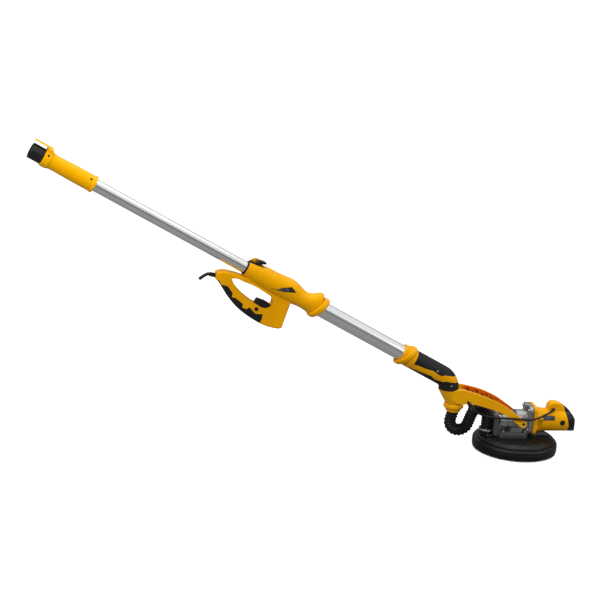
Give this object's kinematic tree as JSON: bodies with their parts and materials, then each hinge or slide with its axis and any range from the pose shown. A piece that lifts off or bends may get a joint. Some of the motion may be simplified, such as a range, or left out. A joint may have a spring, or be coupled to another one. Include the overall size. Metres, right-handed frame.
{
  "type": "pole drywall sander",
  "caption": "Telescopic pole drywall sander: disc head with motor on a gimbal fork, suction hose, D handle, clamp lever, rear grip and vacuum outlet.",
  "frame": {"origin": "centre of the sanding face, on the spindle axis", "axes": "+Z out of the surface being sanded, through the head; +X towards the motor, -X towards the pole and the operator; XZ is the plane of symmetry of the pole; metres"},
  "size_m": [1.5918, 0.244, 0.8509],
  "materials": {
    "yellow_plastic": "moulded, fine grain",
    "black_plastic": "moulded, fine grain",
    "black_rubber": "soft touch",
    "grey_plastic": "satin label",
    "nylon": "natural nylon",
    "anodised_aluminium": "drawn and anodised",
    "cast_aluminium": "die cast",
    "steel": "zinc plated",
    "dark_steel": "black oxide",
    "electrical_steel": "laminated, varnished",
    "carbon": "graphite",
    "hose_rubber": "ribbed",
    "bristle": "nylon brush",
    "abrasive": "coated abrasive, hook and loop backed",
    "foam": "closed-cell foam",
    "dark_plastic": "glass-filled"
  },
  "bodies": {
    "handle_and_fork": {"handle_shell_right": "yellow_plastic", "handle_shell_left": "yellow_plastic", "handle_grip_rubber": "black_rubber", "badge_plates": "grey_plastic", "switch_module": "black_plastic", "cord_sleeve": "black_rubber", "power_cord": "black_rubber", "front_tube": "anodised_aluminium", "guide_bush": "nylon", "wiper_ring": "black_rubber", "clamp_shoe": "nylon", "neck_collar": "yellow_plastic", "neck_rubber": "black_rubber", "neck_shell_left": "yellow_plastic", "neck_shell_right": "yellow_plastic", "fork_left": "yellow_plastic", "fork_right": "yellow_plastic", "inlet_collar": "yellow_plastic", "shell_screws": "steel", "pivot_pins": "dark_steel"},
    "trigger": {"trigger": "black_plastic"},
    "lock_button": {"lock_button": "black_plastic"},
    "speed_dial": {"speed_dial": "black_plastic"},
    "clamp_lever": {"clamp_lever": "black_plastic"},
    "rear_pole": {"rear_tube": "anodised_aluminium", "tube_slider": "nylon", "rear_grip_right": "yellow_plastic", "rear_grip_left": "yellow_plastic", "rear_grip_screws": "steel"},
    "hose_adapter": {"hose_adapter": "black_plastic"},
    "gimbal_yoke": {"gimbal_yoke": "cast_aluminium"},
    "head": {"roll_pin": "dark_steel", "gearbox_base": "cast_aluminium", "gearbox_housing": "cast_aluminium", "flange_gasket": "black_rubber", "motor_housing": "yellow_plastic", "motor_label": "grey_plastic", "motor_end_cap": "black_plastic", "stator": "electrical_steel", "carbon_brushes": "carbon", "brush_caps": "black_plastic", "bearings": "steel", "shroud_cover": "black_plastic", "hose_port": "black_plastic", "head_screws": "steel", "suction_hose": "hose_rubber", "hose_clamp": "steel", "head_cable": "black_rubber", "skirt_springs": "steel"},
    "armature": {"armature": "electrical_steel", "cooling_fan": "nylon", "bevel_pinion": "steel"},
    "pad": {"crown_gear": "steel", "spindle": "steel", "sanding_disc": "abrasive", "pad_foam": "foam", "pad_plate": "dark_plastic", "pad_bolt": "steel"},
    "skirt": {"skirt_ring": "black_rubber", "skirt_bristles": "bristle"}
  },
  "joints": [
    {"name": "pole_telescope", "type": "slide", "parent": "handle_and_fork", "child": "rear_pole", "axis": [-0.8894, 0, 0.4571], "range_m": [-0.36, 0]},
    {"name": "adapter_swivel", "type": "hinge", "parent": "rear_pole", "child": "hose_adapter", "pos_m": [-1.39372, 0, 0.81327], "axis": [-0.8894, 0, 0.4571], "continuous": true},
    {"name": "clamp_lever_hinge", "type": "hinge", "parent": "handle_and_fork", "child": "clamp_lever", "pos_m": [-0.78653, 0, 0.53333], "axis": [0, -1, 0], "range_deg": [0, 95]},
    {"name": "trigger_hinge", "type": "hinge", "parent": "handle_and_fork", "child": "trigger", "pos_m": [-0.75829, 0, 0.40014], "axis": [0, -1, 0], "range_deg": [0, 7], "stiffness_Nm_per_rad": 0.8},
    {"name": "lock_button_press", "type": "slide", "parent": "handle_and_fork", "child": "lock_button", "axis": [0, 1, 0], "range_m": [0, 0.003], "stiffness_N_per_m": 200},
    {"name": "speed_dial_turn", "type": "hinge", "parent": "handle_and_fork", "child": "speed_dial", "pos_m": [-0.72658, 0.017, 0.39621], "axis": [0, 1, 0], "range_deg": [0, 270]},
    {"name": "head_tilt", "type": "hinge", "parent": "handle_and_fork", "child": "gimbal_yoke", "pos_m": [0.004, 0, 0.09], "axis": [0, 1, 0], "range_deg": [-45, 25], "deforming": ["suction_hose", "head_cable"]},
    {"name": "head_roll", "type": "hinge", "parent": "gimbal_yoke", "child": "head", "pos_m": [-0.054, 0, 0.09], "axis": [1, 0, 0], "range_deg": [-10, 10]},
    {"name": "pad_spin", "type": "hinge", "parent": "head", "child": "pad", "pos_m": [0, 0, 0.03], "axis": [0, 0, 1], "continuous": true},
    {"name": "armature_spin", "type": "hinge", "parent": "head", "child": "armature", "pos_m": [0.08, 0, 0.089], "axis": [1, 0, 0], "continuous": true},
    {"name": "skirt_float", "type": "slide", "parent": "head", "child": "skirt", "axis": [0, 0, 1], "range_m": [-0.0015, 0.003], "stiffness_N_per_m": 3000, "springref_m": 0.0006, "deforming": ["skirt_springs"]}
  ],
  "couplings": [
    {"joint": "armature_spin", "follows": "pad_spin", "ratio": 5}
  ]
}
